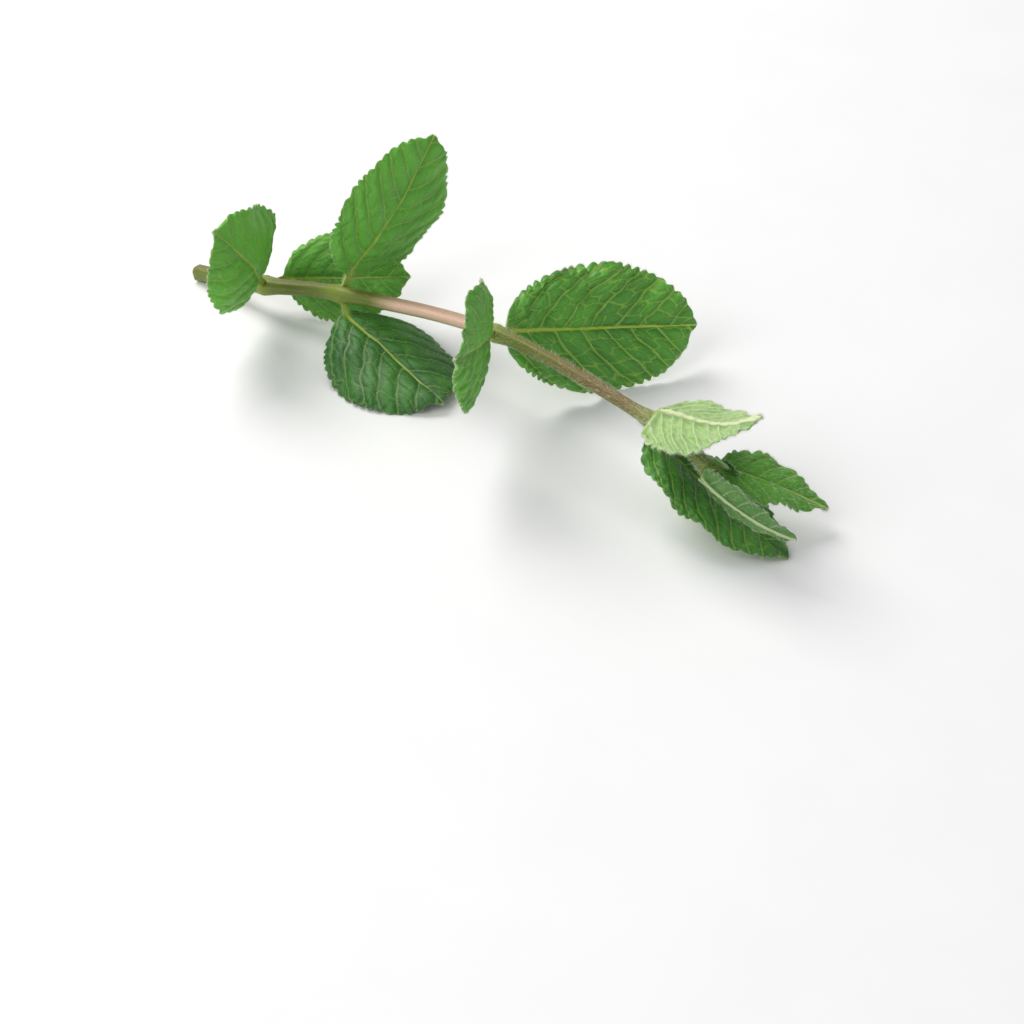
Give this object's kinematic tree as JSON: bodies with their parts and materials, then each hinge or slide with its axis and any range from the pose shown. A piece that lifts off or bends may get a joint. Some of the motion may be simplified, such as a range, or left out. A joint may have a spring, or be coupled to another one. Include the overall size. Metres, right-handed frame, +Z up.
{
  "type": "mint sprig",
  "caption": "Cut sprig of fresh garden mint with opposite pairs of toothed, veined leaves on a square stem, lying on a surface.",
  "frame": {"origin": "middle of the sprig's footprint, on the surface it lies on", "axes": "+X along the stem from the cut end to the growing tip, +Z up, +Y to the left seen from the cut end"},
  "size_m": [0.1722, 0.0756, 0.0473],
  "materials": {
    "stem": "satin, finely haired",
    "leaf": "satin, quilted between the veins",
    "young_leaf": "matt, downy"
  },
  "bodies": {
    "root": {"stem": "stem", "leaf_1_near": "leaf", "leaf_1_far": "leaf", "leaf_2_upper": "leaf", "leaf_2_lower": "leaf", "leaf_3_far": "leaf", "leaf_3_near": "leaf", "leaf_4_upper": "young_leaf", "leaf_4_lower": "leaf", "leaf_5_far": "young_leaf", "leaf_5_near": "young_leaf", "tip_bud": "young_leaf"}
  },
  "joints": []
}
